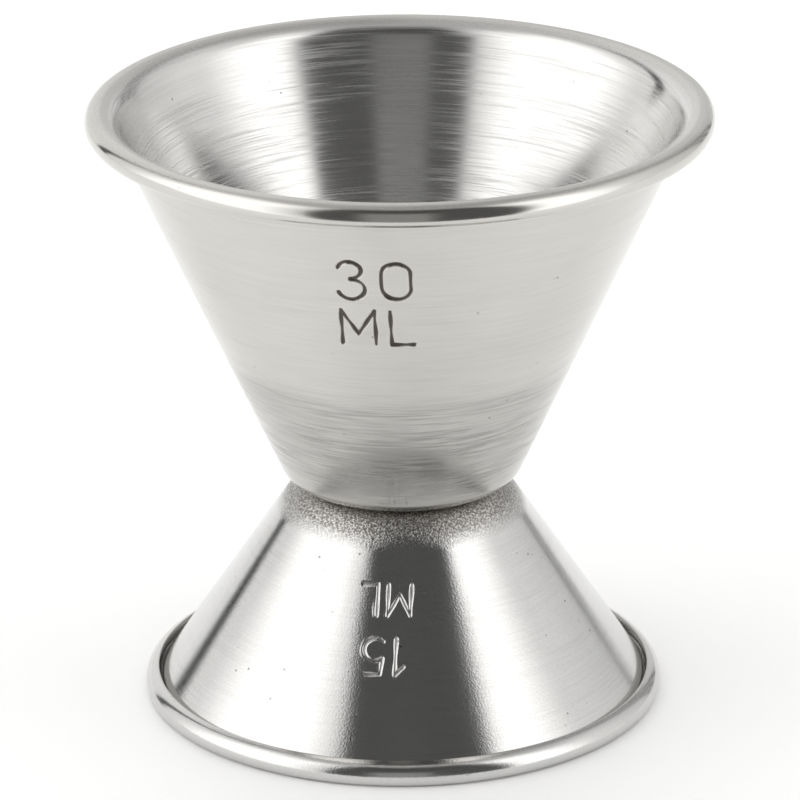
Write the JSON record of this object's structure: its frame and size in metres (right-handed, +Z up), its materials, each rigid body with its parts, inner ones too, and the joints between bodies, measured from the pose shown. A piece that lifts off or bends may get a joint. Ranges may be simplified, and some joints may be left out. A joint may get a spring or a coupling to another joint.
{
  "type": "double bar jigger",
  "caption": "Double-ended conical steel measuring cup: a large cup standing on a small inverted one, with rolled rims and stamped capacity marks.",
  "frame": {"origin": "centre of the circle the small cup's rim stands on", "axes": "+Z up along the cups' common axis, from the small cup to the mouth of the large cup; -Y is the front, where the capacity marks are"},
  "size_m": [0.052, 0.052, 0.0518],
  "materials": {
    "satin_steel": "satin, turned and lightly scratched",
    "weld_steel": "fused, dull"
  },
  "bodies": {
    "root": {"upper_cup": "satin_steel", "lower_cup": "satin_steel", "spot_welds": "weld_steel"}
  },
  "joints": []
}
